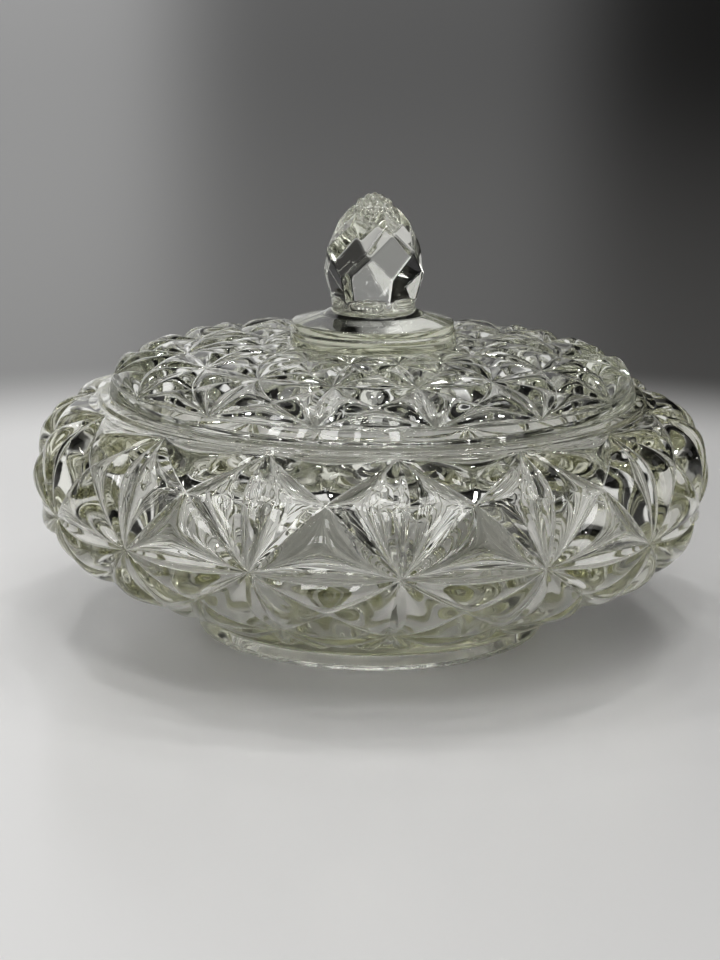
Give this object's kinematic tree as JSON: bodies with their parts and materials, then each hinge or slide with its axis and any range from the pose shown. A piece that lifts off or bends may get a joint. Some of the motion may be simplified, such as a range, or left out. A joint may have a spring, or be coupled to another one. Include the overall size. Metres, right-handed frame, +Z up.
{
  "type": "covered glass dish",
  "caption": "Round footed dish of clear pressed glass with a star and diamond lattice and a loose flanged lid with a faceted knob.",
  "frame": {"origin": "centre of the foot ring's resting face, on the dish's axis", "axes": "+Z up along the dish's axis of rotation, which is also the way the lid lifts; a star of the bowl's lattice faces -Y"},
  "size_m": [0.1992, 0.1982, 0.1276],
  "materials": {
    "bowl_glass": "thick fire-polished pressed glass, clear with a faint straw-green tint",
    "lid_glass": "fire-polished pressed glass, clear and nearly neutral"
  },
  "bodies": {
    "bowl": {"bowl": "bowl_glass"},
    "lid": {"lid": "lid_glass"}
  },
  "joints": [
    {"name": "lid_lift", "type": "slide", "parent": "bowl", "child": "lid", "axis": [0, 0, 1], "range_m": [0, 0.1]}
  ]
}
